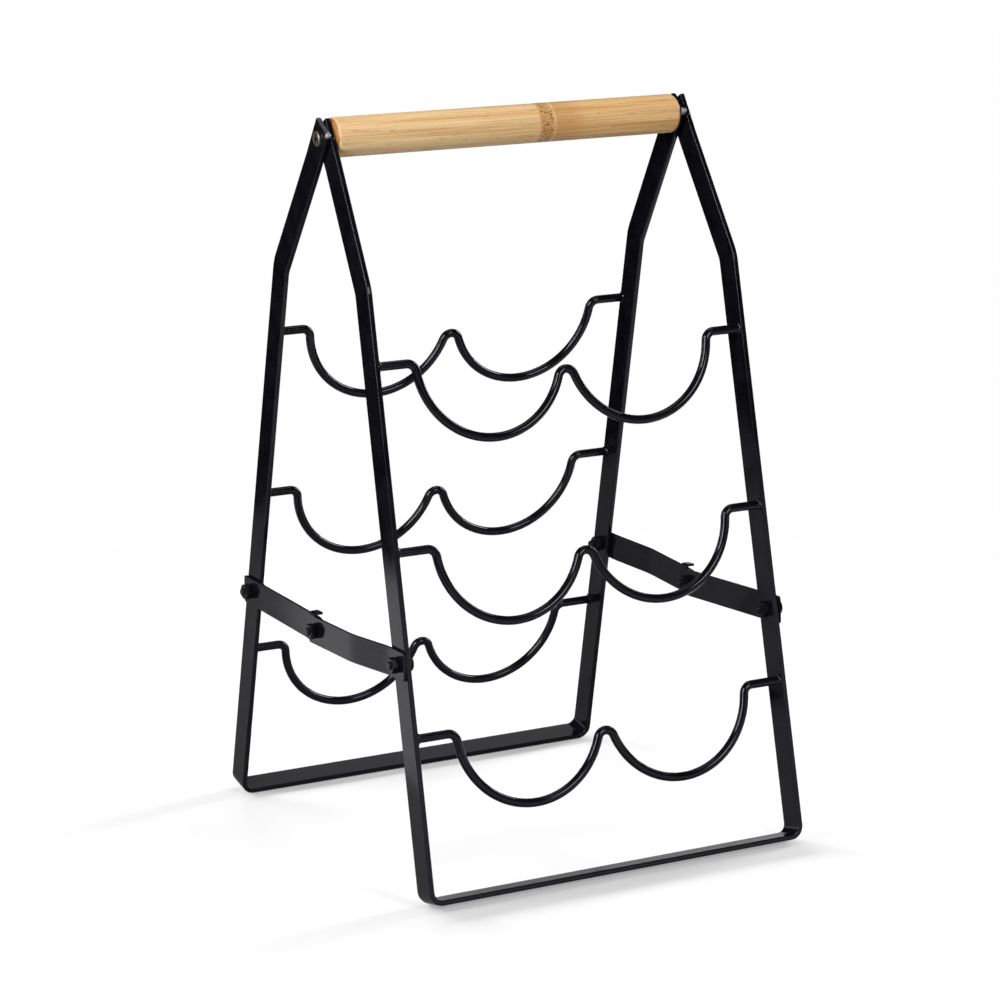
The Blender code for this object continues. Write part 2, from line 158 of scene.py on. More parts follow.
def add(tree, kind, links=None, stops=None, **settings):
    """A node with its settings, its ramp's stops, and its sockets set to values or linked to other nodes."""
    node = tree.nodes.new(kind)
    for setting, value in settings.items():
        setattr(node, setting, value)
    for socket, source in (links or {}).items():
        if isinstance(source, bpy.types.NodeSocket):
            tree.links.new(source, node.inputs[socket])
        else:
            node.inputs[socket].default_value = source
    for i, (at, colour) in enumerate(stops or []):
        stop = node.color_ramp.elements[i] if i < 2 else node.color_ramp.elements.new(at)
        stop.position = at
        stop.color = linear(colour)
    return node


def new_finish(name):
    """An empty material, its node tree, and the place on the rack that its patterns follow."""
    finish = bpy.data.materials.new(name)
    finish.use_nodes = True
    tree = finish.node_tree
    tree.nodes.clear()
    return finish, tree, add(tree, "ShaderNodeTexCoord").outputs["Object"]


def lay(tree, shader):
    """Puts a shader on the surface."""
    add(tree, "ShaderNodeOutputMaterial", {"Surface": shader.outputs["BSDF"]})


# Satin black polyester powder coat, sprayed dry and baked: the powder flows into a smooth skin with a faint
# orange peel about 1.5 mm across and a finer grit, so edges shine in a line while flats show a soft, dim
# reflection. The lower corners of the bars' cut ends are painted a pale grey: partly scuffs where they rub,
# partly a painted highlight.
SCUFF_AND_HIGHLIGHT_CORNER = (0.0112, 0.4088)
SCUFF_AND_HIGHLIGHT_REACH = 0.0062
SCUFF_AND_HIGHLIGHT_FADE = 0.0007
SCUFF_AND_HIGHLIGHT_RAGGED = 0.008
powder_coat, tree, place = new_finish("satin_black_powder_coat")
peel = add(tree, "ShaderNodeTexNoise", {"Vector": place, "Scale": 650.0, "Detail": 2.0})
dust = add(tree, "ShaderNodeTexNoise", {"Vector": place, "Scale": 90.0, "Detail": 3.0})
tone = add(tree, "ShaderNodeValToRGB", {"Fac": dust.outputs["Fac"]}, [(0.35, "#08080b"), (0.7, "#0e0e12")])
gloss = add(tree, "ShaderNodeMapRange", {"Value": dust.outputs["Fac"], "From Min": 0.3, "From Max": 0.7,
                                         "To Min": 0.1, "To Max": 0.15})
grit = add(tree, "ShaderNodeTexNoise", {"Vector": place, "Scale": 1400.0, "Detail": 1.0})
shine = add(tree, "ShaderNodeMapRange", {"Value": grit.outputs["Fac"], "From Min": 0.35, "From Max": 0.65,
                                         "To Min": 0.36, "To Max": 0.64})
skin = add(tree, "ShaderNodeBump", {"Height": peel.outputs["Fac"], "Strength": 0.1, "Distance": 0.00002})
# Painted highlight and scuffs: a pale grey patch at the lower corner of each cut end.
parts = add(tree, "ShaderNodeSeparateXYZ", {"Vector": place})
off_middle = add(tree, "ShaderNodeMath", {0: parts.outputs["Y"]}, operation="ABSOLUTE")
folded_over = add(tree, "ShaderNodeCombineXYZ", {"Y": off_middle.outputs[0], "Z": parts.outputs["Z"]})
from_corner = add(tree, "ShaderNodeVectorMath", {0: folded_over.outputs[0], 1: (0, *SCUFF_AND_HIGHLIGHT_CORNER)},
                  operation="DISTANCE")
rubs = add(tree, "ShaderNodeTexNoise", {"Vector": place, "Scale": 900.0, "Detail": 2.0})
ragged = add(tree, "ShaderNodeMath", {0: rubs.outputs["Fac"], 1: SCUFF_AND_HIGHLIGHT_RAGGED,
                                      2: from_corner.outputs["Value"]}, operation="MULTIPLY_ADD")
scuff_and_highlight_mask = add(tree, "ShaderNodeMapRange", {"Value": ragged.outputs[0], "From Min": SCUFF_AND_HIGHLIGHT_REACH - SCUFF_AND_HIGHLIGHT_FADE,
                                         "From Max": SCUFF_AND_HIGHLIGHT_REACH, "To Min": 1.0, "To Max": 0.0})
scuffed_and_highlighted = add(tree, "ShaderNodeMix", {0: scuff_and_highlight_mask.outputs["Result"], 6: tone.outputs["Color"],
                                      7: linear("#8f8f98")}, data_type="RGBA")
lay(tree, add(tree, "ShaderNodeBsdfPrincipled", {
    "Base Color": scuffed_and_highlighted.outputs[2], "Roughness": gloss.outputs["Result"], "IOR": 1.31,
    "Specular IOR Level": shine.outputs["Result"], "Specular Tint": linear("#f2f0ff"),
    "Normal": skin.outputs["Normal"]}))


def half_width(z):
    """Half a frame's outer width at a height below the knees in its own axes, as its legs lean together."""
    return FRAME_WIDTH / 2 - TOP_DRAWN_IN * (z + LEG_DROP) / LEG_DROP


def standing(facing):
    """From a frame's own axes, with the screws' axis as X and the lower legs upright, to its open stand."""
    turn = Matrix.Rotation(0 if facing > 0 else math.pi, 4, "Z") @ Matrix.Rotation(-OPEN_LEAN, 4, "X")
    return Matrix.Translation((facing * STAGGER / 2, 0, HANDLE_HEIGHT)) @ turn


for name, facing in FACINGS.items():
    bar = bmesh.new()
    down = Vector((0, -math.sin(KNEE_ANGLE), -math.cos(KNEE_ANGLE)))
    outward = Vector((0, -math.cos(KNEE_ANGLE), math.sin(KNEE_ANGLE)))
    leg = Vector(((BAR_THICKNESS - FRAME_WIDTH) / 2, 0, 0))
    drawn_in = Vector((UPPER_DRAWN_IN, 0, 0))
    section = Matrix.Translation(leg + drawn_in - TOP_OVERHANG * down) @ Matrix.Rotation(-KNEE_ANGLE, 4, "X")
    section = section @ Matrix.Diagonal((BAR_THICKNESS, BAR_WIDTH, 1, 1))
    bmesh.ops.create_grid(bar, x_segments=1, y_segments=1, size=0.5, matrix=section)
    bmesh.ops.bevel(bar, geom=bar.verts[:], offset=BAR_EDGE_RADIUS, offset_type="OFFSET", segments=EDGE_STEPS,
                    profile=0.5, affect="VERTICES", material=-1)
    bar.faces.ensure_lookup_table()
    to_knee = UPPER_LEG - KNEE_RADIUS * math.tan(KNEE_ANGLE / 2)
    end = pull(bar, bar.faces[0], (TOP_OVERHANG + PARALLEL_TOP) * down)
    end = pull(bar, end, (to_knee - PARALLEL_TOP) * down - drawn_in)
    end = bend(bar, end, leg + to_knee * down - KNEE_RADIUS * outward, (1, 0, 0), KNEE_ANGLE, KNEE_STEPS)
    turn_radius = FOOT_BEND_RADIUS + BAR_THICKNESS / 2
    corner = Vector((leg.x + turn_radius, -LEG_OUT, BAR_THICKNESS / 2 + turn_radius - LEG_DROP))
    end = pull(bar, end, Vector((0, 0, corner.z - end.calc_center_median().z)))
    end = bend(bar, end, corner, (0, 1, 0), -math.pi / 2, FOOT_STEPS)
    bmesh.ops.transform(bar, matrix=Matrix(((1, 0, TOP_DRAWN_IN / LEG_DROP, TOP_DRAWN_IN), (0, 1, 0, 0),
                                            (0, 0, 1, 0), (0, 0, 0, 1))), verts=bar.verts)
    middle = pull(bar, end, Vector((-corner.x, 0, 0)))
    for vert in middle.verts:
        vert.co.x = 0.0
    bmesh.ops.delete(bar, geom=[middle], context="FACES_ONLY")
    top = max(bar.faces, key=lambda face: face.calc_center_median().z)
    ease(bar, top.edges[:], CUT_END_EASE, 2)
    bmesh.ops.mirror(bar, geom=bar.verts[:] + bar.edges[:] + bar.faces[:], merge_dist=1e-6, axis="X")
    bmesh.ops.recalc_face_normals(bar, faces=bar.faces)
    bar = carve(bar, round_bar(0, 0, 0, SCREW_HOLE, 2 * FRAME_WIDTH))
    bar = carve(bar, round_bar(0, -LEG_OUT, BRACE_UP_LEG - LEG_DROP, BOLT_HOLE, 2 * FRAME_WIDTH))
    piece = finished(f"{name}_bent_flat_bar", bar, powder_coat, standing(facing))
    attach(piece, f"{name}_frame")
    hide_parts(f"{name}_frame_bar")

# Scooped cradles
# Round steel wire, bent cold into two bottle scoops with a peak between them, its stubs butt welded to the
# inner faces of the legs near their outer edges. Each weld is a small lumpy bead under the same coat.
WIRE_DIAMETER = 0.005
WIRE_BEND_RADIUS = 0.0053
WIRE_EDGE_INSET = 0.0005
SCOOP_RADIUS = 0.045
PEAK_ANGLE = math.radians(20.05)
CRADLE_HEIGHTS = {"bottom": 0.0915, "middle": 0.1925, "top": 0.2935}
BEAD = (0.0021, 0.0031, 0.0034)
BEAD_LUMP = 0.18
LUMPS_PER_BEAD = 1.7
WIRE_SIDES = 24
SHOULDER_STEPS = 10
BOWL_STEPS = 48
PEAK_STEPS = 16

for name, facing in FACINGS.items():
    for row, (tier, height) in enumerate(CRADLE_HEIGHTS.items()):
        z = height - LEG_DROP
        y = WIRE_EDGE_INSET + (WIRE_DIAMETER - BAR_WIDTH) / 2 - LEG_OUT
        reach = SCOOP_RADIUS + WIRE_BEND_RADIUS
        shoulder_turn = math.asin(WIRE_BEND_RADIUS / reach)
        scoop = Vector((-reach * math.cos(PEAK_ANGLE), y, z))
        shoulder = scoop - reach * Vector((math.cos(shoulder_turn), 0, math.sin(shoulder_turn)))
        peak = Vector((0, y, z - reach * math.sin(PEAK_ANGLE)))
        right_scoop = Vector((-scoop.x, y, z))
        right_shoulder = Vector((-shoulder.x, y, shoulder.z))
        start = Vector((BAR_THICKNESS - half_width(z), y, z))
        wire = bmesh.new()
        bmesh.ops.create_circle(wire, cap_ends=True, radius=WIRE_DIAMETER / 2, segments=WIRE_SIDES,
                                matrix=Matrix.Translation(start) @ Matrix.Rotation(math.pi / 2, 4, "Y"))
        wire.faces.ensure_lookup_table()
        axis = (0, 1, 0)
        bowl_turn = math.pi - PEAK_ANGLE - shoulder_turn
        end = pull(wire, wire.faces[0], Vector((shoulder.x - start.x, 0, 0)))
        end = bend(wire, end, shoulder, axis, math.pi / 2 - shoulder_turn, SHOULDER_STEPS)
        end = bend(wire, end, scoop, axis, -bowl_turn, BOWL_STEPS)
        end = bend(wire, end, peak, axis, math.pi - 2 * PEAK_ANGLE, PEAK_STEPS)
        end = bend(wire, end, right_scoop, axis, -bowl_turn, BOWL_STEPS)
        end = bend(wire, end, right_shoulder, axis, math.pi / 2 - shoulder_turn, SHOULDER_STEPS)
        pull(wire, end, Vector((shoulder.x - start.x, 0, 0)))
        for side in SIDES.values():
            weld = Vector((side * (half_width(z) - BAR_THICKNESS), y, z))
            own_lumps = Vector((row, 3 * facing, 5 * side))
            for vert in bmesh.ops.create_icosphere(wire, subdivisions=4, radius=1.0)["verts"]:
                lump = 1 + BEAD_LUMP * noise.noise(LUMPS_PER_BEAD * vert.co + own_lumps)
                vert.co = weld + lump * Vector([share * size for share, size in zip(vert.co, BEAD)])
        piece = finished(f"{name}_{tier}_scooped_wire", wire, powder_coat, standing(facing))
        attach(piece, f"{name}_frame")
        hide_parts(f"{name}_cradle_{tier}")

# Handle
# A dowel turned from laminated bamboo, its rims eased, a pilot bore in each end for the screw that carries
# it, sanded and sealed. It lies between the inner one of the two legs at each end.
HANDLE_DIAMETER = 0.0222
HANDLE_END_RADIUS = 0.003
PILOT_BORE = 0.0051
PILOT_DEPTH = 0.0268
DOWEL_SIDES = 96
RIM_STEPS = 8
low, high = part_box("handle_grip")
half_length = (high[0] - low[0]) / 2
dowel = round_bar(0, 0, HANDLE_HEIGHT, HANDLE_DIAMETER, 2 * half_length, DOWEL_SIDES)
rims = [edge for edge in dowel.edges if len({len(face.verts) for face in edge.link_faces}) == 2]
ease(dowel, rims, HANDLE_END_RADIUS, RIM_STEPS)
for side in SIDES.values():
    bore = round_bar(side * half_length, 0, HANDLE_HEIGHT, PILOT_BORE, 2 * PILOT_DEPTH)
    dowel = carve(dowel, bore)

# Bamboo, split, planed and glued up, turned and sanded, under a thin matt sealer: straight pale straw fibres
# about 0.5 mm apart in bands of slightly different tone, short brown flecks, and where a joint of the cane
# crosses the dowel a darker, mottled band 10 mm long. Past it runs a ridge of the cane, a thin brown edge
# that fades away to the right, where the straw is a little deeper. The ends show the fibre bundles as dots.
# Their dark brown is partly end grain and partly painted shade, and it reaches over most of each rounded rim.
NODE_BAND = 0.0215
NODE_HALF_LENGTH = 0.0048
RIDGE = 0.0275
RIDGE_RISE = 0.0008
RIDGE_FADE = 0.02
RIDGE_SHARE = 0.65
DEEPER_WITHIN = 0.012
STREAK_SHARE = 0.55
RAGGED = 0.006
bamboo, tree, place = new_finish("sealed_bamboo")
along = add(tree, "ShaderNodeMapping", {"Vector": place, "Scale": (12, 1600, 1600)}).outputs["Vector"]
fibres = add(tree, "ShaderNodeTexNoise", {"Vector": along, "Scale": 1.0, "Detail": 5.0, "Roughness": 0.75})
broad = add(tree, "ShaderNodeMapping", {"Vector": place, "Scale": (7, 300, 300)}).outputs["Vector"]
bands = add(tree, "ShaderNodeTexNoise", {"Vector": broad, "Scale": 1.0, "Detail": 3.0})
straw = add(tree, "ShaderNodeValToRGB", {"Fac": bands.outputs["Fac"]},
            [(0.3, "#c69e6c"), (0.5, "#d1b17f"), (0.72, "#dbc093")])
streak = add(tree, "ShaderNodeValToRGB", {"Fac": fibres.outputs["Fac"]},
             [(0.38, "#b27c3c"), (0.56, "#ffffff")])
grain = add(tree, "ShaderNodeMix", {0: STREAK_SHARE, 6: straw.outputs["Color"], 7: streak.outputs["Color"]},
            data_type="RGBA", blend_type="MULTIPLY")
short = add(tree, "ShaderNodeMapping", {"Vector": place, "Scale": (150, 1000, 1000)}).outputs["Vector"]
flecks = add(tree, "ShaderNodeTexNoise", {"Vector": short, "Scale": 1.0, "Detail": 1.0})
fleck_mask = add(tree, "ShaderNodeMapRange", {"Value": flecks.outputs["Fac"], "From Min": 0.66,
                                              "From Max": 0.74, "To Min": 0.0, "To Max": 0.5})
flecked = add(tree, "ShaderNodeMix", {0: fleck_mask.outputs["Result"], 6: grain.outputs[2],
                                      7: linear("#8f6230")}, data_type="RGBA")
parts = add(tree, "ShaderNodeSeparateXYZ", {"Vector": place})
ragged = add(tree, "ShaderNodeMath", {0: fibres.outputs["Fac"], 1: RAGGED, 2: parts.outputs["X"]},
             operation="MULTIPLY_ADD")
ragged_ridge = RIDGE + RAGGED / 2
past_ridge = add(tree, "ShaderNodeMapRange", {"Value": ragged.outputs[0], "From Min": ragged_ridge,
                                              "From Max": ragged_ridge + RIDGE_FADE,
                                              "To Min": 1.0, "To Max": 0.0})
at_ridge = add(tree, "ShaderNodeMapRange", {"Value": ragged.outputs[0], "From Min": ragged_ridge - RIDGE_RISE,
                                            "From Max": ragged_ridge})
ridge_mask = add(tree, "ShaderNodeMath", {0: past_ridge.outputs["Result"], 1: at_ridge.outputs["Result"]},
                 operation="MULTIPLY")
ridge_part = add(tree, "ShaderNodeMath", {0: ridge_mask.outputs[0], 1: RIDGE_SHARE}, operation="MULTIPLY")
ridged = add(tree, "ShaderNodeMix", {0: ridge_part.outputs[0], 6: flecked.outputs[2], 7: linear("#a87639")},
             data_type="RGBA")
beyond = add(tree, "ShaderNodeMapRange", {"Value": ragged.outputs[0], "From Min": RIDGE,
                                          "From Max": RIDGE + DEEPER_WITHIN})
deeper = add(tree, "ShaderNodeMix", {0: beyond.outputs["Result"], 6: ridged.outputs[2], 7: linear("#f8efdc")},
             data_type="RGBA", blend_type="MULTIPLY")
centred = add(tree, "ShaderNodeMath", {0: ragged.outputs[0], 1: NODE_BAND + RAGGED / 2}, operation="SUBTRACT")
distance = add(tree, "ShaderNodeMath", {0: centred.outputs[0]}, operation="ABSOLUTE")
node_mask = add(tree, "ShaderNodeMapRange", {"Value": distance.outputs[0], "From Min": 0.7 * NODE_HALF_LENGTH,
                                             "From Max": NODE_HALF_LENGTH, "To Min": 1.0, "To Max": 0.0})
pores = add(tree, "ShaderNodeMapping", {"Vector": place, "Scale": (800, 1300, 1300)}).outputs["Vector"]
mottle = add(tree, "ShaderNodeTexNoise", {"Vector": pores, "Scale": 1.0, "Detail": 2.0})
mottled = add(tree, "ShaderNodeValToRGB", {"Fac": mottle.outputs["Fac"]},
              [(0.36, "#7a4c1c"), (0.5, "#a87a40"), (0.64, "#c29c66")])
noded = add(tree, "ShaderNodeMix", {0: node_mask.outputs["Result"], 6: deeper.outputs[2],
                                    7: mottled.outputs["Color"]}, data_type="RGBA")
# Painted shade and end grain: dark brown dots on the ends, reaching over most of each rounded rim.
surface = add(tree, "ShaderNodeNewGeometry")
facing_way = add(tree, "ShaderNodeSeparateXYZ", {"Vector": surface.outputs["Normal"]})
endways = add(tree, "ShaderNodeMath", {0: facing_way.outputs["X"]}, operation="ABSOLUTE")
end_grain_and_shade_mask = add(tree, "ShaderNodeMapRange", {"Value": endways.outputs[0], "From Min": 0.4, "From Max": 0.62})
bundles = add(tree, "ShaderNodeTexVoronoi", {"Vector": place, "Scale": 1100.0})
end_dots_and_shade = add(tree, "ShaderNodeValToRGB", {"Fac": bundles.outputs["Distance"]},
           [(0.2, "#4a2c10"), (0.45, "#8f5c28")])
end_grain_and_shaded = add(tree, "ShaderNodeMix", {0: end_grain_and_shade_mask.outputs["Result"], 6: noded.outputs[2],
                                    7: end_dots_and_shade.outputs["Color"]}, data_type="RGBA")
satin = add(tree, "ShaderNodeMapRange", {"Value": fibres.outputs["Fac"], "From Min": 0.3, "From Max": 0.7,
                                         "To Min": 0.55, "To Max": 0.45})
raised = add(tree, "ShaderNodeBump", {"Height": fibres.outputs["Fac"], "Strength": 0.25, "Distance": 0.00006})
lay(tree, add(tree, "ShaderNodeBsdfPrincipled", {
    "Base Color": end_grain_and_shaded.outputs[2], "Roughness": satin.outputs["Result"], "IOR": 1.45,
    "Normal": raised.outputs["Normal"]}))
piece = finished("bamboo_dowel_handle", dowel, bamboo)
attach(piece, "handle")
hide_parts("handle_grip")

# Handle screws
# Pan-head wood screws with a cross recess, cold headed and thread rolled in steel. The frames turn on their
# plain shanks, between the head outside and the handle's end inside.
SCREW_DIAMETER = 0.0045
SCREW_LENGTH = 0.032
SCREW_POINT = 0.006
SCREW_HEAD = 0.0086
SCREW_HEAD_HEIGHT = 0.0022
SCREW_CROWN = 0.0014
SCREW_HEAD_ROUND = 0.0007
SCREW_PITCH = 0.0018
SCREW_CORE = 0.0032
PLAIN_SHANK = 0.0085
SHANK_TAPER = 0.0006
POINT_SHARE = 0.08
RECESS_ARM = (0.0014, 0.0056)
RECESS_DEPTH = 0.0012
RECESS_DRAFT = 0.6
HEAD_STEPS = 8
SHANK_SIDES = 32
THREAD_STEPS = 28
THREAD_FLANKS = (0.0, 0.42, 0.52, 0.94)
SCREW_ROOT_SUNK = 0.0002

# Yellow-passivated zinc plate on steel, dipped: a thin bright metal skin with a pale straw tint, a little
# clouded. The cross recess is painted dark from just under the head's crown down: partly grime, partly
# painted shade.
RECESS_GRIME_AND_SHADE_TOP = 0.0001
RECESS_GRIME_AND_SHADE_FULL = 0.0003
RECESS_GRIME_AND_SHADE_MARGIN = 0.0002
yellow_zinc, tree, place = new_finish("yellow_passivated_zinc")
cloud = add(tree, "ShaderNodeTexNoise", {"Vector": place, "Scale": 500.0, "Detail": 3.0})
tint = add(tree, "ShaderNodeValToRGB", {"Fac": cloud.outputs["Fac"]}, [(0.3, "#6d6759"), (0.7, "#8b8679")])
dull = add(tree, "ShaderNodeMapRange", {"Value": cloud.outputs["Fac"], "To Min": 0.34, "To Max": 0.5})
# Painted shade and grime: the cross recess turns dark from just under the crown down.
parts = add(tree, "ShaderNodeSeparateXYZ", {"Vector": place})
outwards = add(tree, "ShaderNodeMath", {0: parts.outputs["X"]}, operation="ABSOLUTE")
off_axis = add(tree, "ShaderNodeVectorMath", {0: place, 1: (0, 0, HANDLE_HEIGHT)}, operation="SUBTRACT")
across = add(tree, "ShaderNodeVectorMath", {0: off_axis.outputs[0], 1: (0, 1, 1)}, operation="MULTIPLY")
radius = add(tree, "ShaderNodeVectorMath", {0: across.outputs[0]}, operation="LENGTH")
crown_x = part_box("handle_screw_right")[1][0] - SCREW_HEAD_HEIGHT + SCREW_CROWN
sunk = add(tree, "ShaderNodeMapRange", {"Value": outwards.outputs[0], "From Min": crown_x - RECESS_GRIME_AND_SHADE_FULL,
                                        "From Max": crown_x - RECESS_GRIME_AND_SHADE_TOP, "To Min": 1.0, "To Max": 0.0})
inside = add(tree, "ShaderNodeMath", {0: radius.outputs["Value"], 1: RECESS_ARM[1] / 2 + RECESS_GRIME_AND_SHADE_MARGIN},
             operation="LESS_THAN")
grime_and_shade = add(tree, "ShaderNodeMath", {0: sunk.outputs["Result"], 1: inside.outputs[0]}, operation="MULTIPLY")
soiled_and_shaded = add(tree, "ShaderNodeMix", {0: grime_and_shade.outputs[0], 6: tint.outputs["Color"], 7: linear("#231f18")},
             data_type="RGBA")
lay(tree, add(tree, "ShaderNodeBsdfPrincipled", {
    "Base Color": soiled_and_shaded.outputs[2], "Metallic": 1.0, "Roughness": dull.outputs["Result"]}))


def add_thread(shape, start, turns, pitch, root, crest):
    """A rolled V thread on the X axis, towards -X: its section swept round the core as it moves along."""
    profile = zip(THREAD_FLANKS, (root, crest, crest, root))
    corners = [shape.verts.new((start - share * pitch, 0, radius)) for share, radius in profile]
    section = shape.faces.new(corners)
    steps = round(THREAD_STEPS * turns)
    geometry = [section] + section.edges[:] + section.verts[:]
    bmesh.ops.spin(shape, geom=geometry, cent=(0, 0, 0), axis=(1, 0, 0), angle=2 * math.pi * turns,
                   steps=steps, dvec=(-pitch * turns / steps, 0, 0))


def join(shape, other):
    """Puts another shape's mesh into this one."""
    carrier = bare_object("carrier", other)
    shape.from_mesh(carrier.data)
    bpy.data.objects.remove(carrier, do_unlink=True)


for name, side in SIDES.items():
    low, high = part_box(f"handle_screw_{name}")
    seat = (high[0] if side > 0 else -low[0]) - SCREW_HEAD_HEIGHT
    head = round_bar(seat + SCREW_CROWN / 2, 0, 0, SCREW_HEAD, SCREW_CROWN)
    crown = max(head.faces, key=lambda face: face.calc_center_median().x)
    ease(head, crown.edges[:], SCREW_HEAD_ROUND, HEAD_STEPS)
    for turn in (0, math.pi / 2):
        arm = bmesh.new()
        depth = Matrix.Translation((seat + SCREW_CROWN, 0, 0)) @ Matrix.Rotation(turn, 4, "X")
        size = Matrix.Diagonal((2 * RECESS_DEPTH, RECESS_ARM[0], RECESS_ARM[1], 1))
        bmesh.ops.create_cube(arm, size=1.0, matrix=depth @ size)
        bottom = min(arm.faces, key=lambda face: face.calc_center_median().x)
        bmesh.ops.scale(arm, vec=(1, RECESS_DRAFT, RECESS_DRAFT), verts=bottom.verts)
        head = carve(head, arm)
    shank = round_bar(seat - PLAIN_SHANK / 2, 0, 0, SCREW_DIAMETER, PLAIN_SHANK, SHANK_SIDES)
    tail = min(shank.faces, key=lambda face: face.calc_center_median().x)
    threaded = SCREW_LENGTH - PLAIN_SHANK - SHANK_TAPER - SCREW_POINT
    for length, share in ((SHANK_TAPER, SCREW_CORE / SCREW_DIAMETER), (threaded, 1.0),
                          (SCREW_POINT, POINT_SHARE)):
        tail = pull(shank, tail, Vector((-length, 0, 0)))
        bmesh.ops.scale(shank, vec=(1, share, share), verts=tail.verts)
    add_thread(shank, seat - PLAIN_SHANK - SHANK_TAPER, threaded / SCREW_PITCH, SCREW_PITCH,
               SCREW_CORE / 2 - SCREW_ROOT_SUNK, SCREW_DIAMETER / 2)
    join(shank, head)
    outwards = Matrix.Translation((0, 0, HANDLE_HEIGHT)) @ Matrix.Rotation(0 if side > 0 else math.pi, 4, "Z")
    piece = finished(f"{name}_pan_head_screw", shank, yellow_zinc, outwards)
    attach(piece, "handle")
    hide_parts(f"handle_screw_{name}")

# Brace links
# Blanked from 1.5 mm sheet steel, eased, pierced and powder coated. The link on each inner leg is set over
# in a long, shallow S to pass outside the other one. Each front link ends in a tongue folded over the back
# link's upper edge, which stops the braces from sinking any further.
LINK_WIDTH = 0.016
LINK_THICKNESS = 0.0015
LINK_END = 0.008
LINK_CORNER = 0.0015
LINK_EDGE = 0.0002
LINK_SET = 0.0052
SEAT_GAP = 0.0003
SET_START = 0.006
SET_END = 0.050
SET_EASE = 0.2
SET_CUTS = 20
ROUND_END = LINK_WIDTH / 2 - 1e-5
CORNER_STEPS = 12
TAB_START = 0.0002
TAB_END = 0.0085
TAB_CORNER = 0.001
TAB_REACH = 0.0055
TAB_INNER_BEND = 0.0004
TAB_BEND_STEPS = 8


def pivot(name):
    """The middle of a brace bolt, seen along its axis."""
    low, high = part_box(f"{name}_brace_bolt")
    return Vector((0, (low[1] + high[1]) / 2, (low[2] + high[2]) / 2))


def ramp(share):
    """A straight rise from 0 to 1 with a soft bend at each end."""
    from_end = min(share, 1 - share)
    rise = from_end ** 2 / 2 / SET_EASE if from_end < SET_EASE else from_end - SET_EASE / 2
    rise /= 1 - SET_EASE
    return rise if share < 0.5 else 1 - rise


for side_name, side in SIDES.items():
    for name, facing in FACINGS.items():
        leg_pivot = pivot(f"{name}_{side_name}")
        run = pivot(f"middle_{side_name}") - leg_pivot
        length = run.length
        leg_outer = facing * STAGGER / 2 + side * half_width(BRACE_UP_LEG - LEG_DROP)
        near = 0.0 if side > 0 else -LINK_THICKNESS
        offset = side * LINK_SET if side != facing else 0.0
        link = bmesh.new()
        size = Matrix.Diagonal((length + 2 * LINK_END, LINK_WIDTH, 1, 1))
        upright = Matrix(((0, 0, 1, near), (1, 0, 0, length / 2), (0, 1, 0, 0), (0, 0, 0, 1)))
        bmesh.ops.create_grid(link, x_segments=1, y_segments=1, size=0.5, matrix=upright @ size)
        for vert in link.verts[:]:
            radius = LINK_CORNER
            if vert.co.y > length and facing < 0:
                radius = ROUND_END
            elif vert.co.y > length and vert.co.z > 0:
                radius = TAB_CORNER
            bmesh.ops.bevel(link, geom=[vert], offset=radius, offset_type="OFFSET", segments=CORNER_STEPS,
                            profile=0.5, affect="VERTICES", material=-1)
        link.faces.ensure_lookup_table()
        pull(link, link.faces[0], Vector((LINK_THICKNESS, 0, 0)))
        if facing > 0:
            for y in (length + TAB_START, length + TAB_END):
                everything = link.verts[:] + link.edges[:] + link.faces[:]
                bmesh.ops.bisect_plane(link, geom=everything, plane_co=(0, y, 0), plane_no=(0, 1, 0))
            tongue = Vector((near + LINK_THICKNESS / 2, length + (TAB_START + TAB_END) / 2, LINK_WIDTH / 2))
            root = min(link.faces, key=lambda face: (face.calc_center_median() - tongue).length)
            fold = 2 * math.asin(-run.z / length)
            under = LINK_WIDTH / 2 / math.cos(fold) + TAB_END * math.tan(fold) + SEAT_GAP
            end = pull(link, root, Vector((0, 0, under - TAB_INNER_BEND - LINK_WIDTH / 2)))
            crease = Vector((near + LINK_THICKNESS + TAB_INNER_BEND, 0, under - TAB_INNER_BEND))
            end = bend(link, end, crease, (0, 1, 0), math.pi / 2, TAB_BEND_STEPS)
            pull(link, end, Vector((TAB_REACH - LINK_THICKNESS - TAB_INNER_BEND, 0, 0)))
        bmesh.ops.recalc_face_normals(link, faces=link.faces)
        sharp = [edge for edge in link.edges if edge.is_manifold and edge.calc_face_angle() > SHARP]
        ease(link, sharp, LINK_EDGE, 2)
        if offset:
            for cut in range(SET_CUTS + 1):
                y = SET_START + (SET_END - SET_START) * cut / SET_CUTS
                everything = link.verts[:] + link.edges[:] + link.faces[:]
                bmesh.ops.bisect_plane(link, geom=everything, plane_co=(0, y, 0), plane_no=(0, 1, 0))
            for vert in link.verts:
                share = min(max((vert.co.y - SET_START) / (SET_END - SET_START), 0), 1)
                vert.co.x += offset * ramp(share)
        link = carve(link, round_bar(0, 0, 0, BOLT_HOLE, 4 * LINK_SET))
        link = carve(link, round_bar(0, length, 0, BOLT_HOLE, 4 * LINK_SET))
        slope = math.atan2(run.z, run.y)
        seat = Matrix.Translation(leg_pivot + Vector((leg_outer + side * SEAT_GAP, 0, 0)))
        piece = finished(f"{name}_{side_name}_folding_link", link, powder_coat,
                         seat @ Matrix.Rotation(slope, 4, "X"))
        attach(piece, f"{name}_{side_name}_link")
        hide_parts(f"{name}_{side_name}_brace_link")

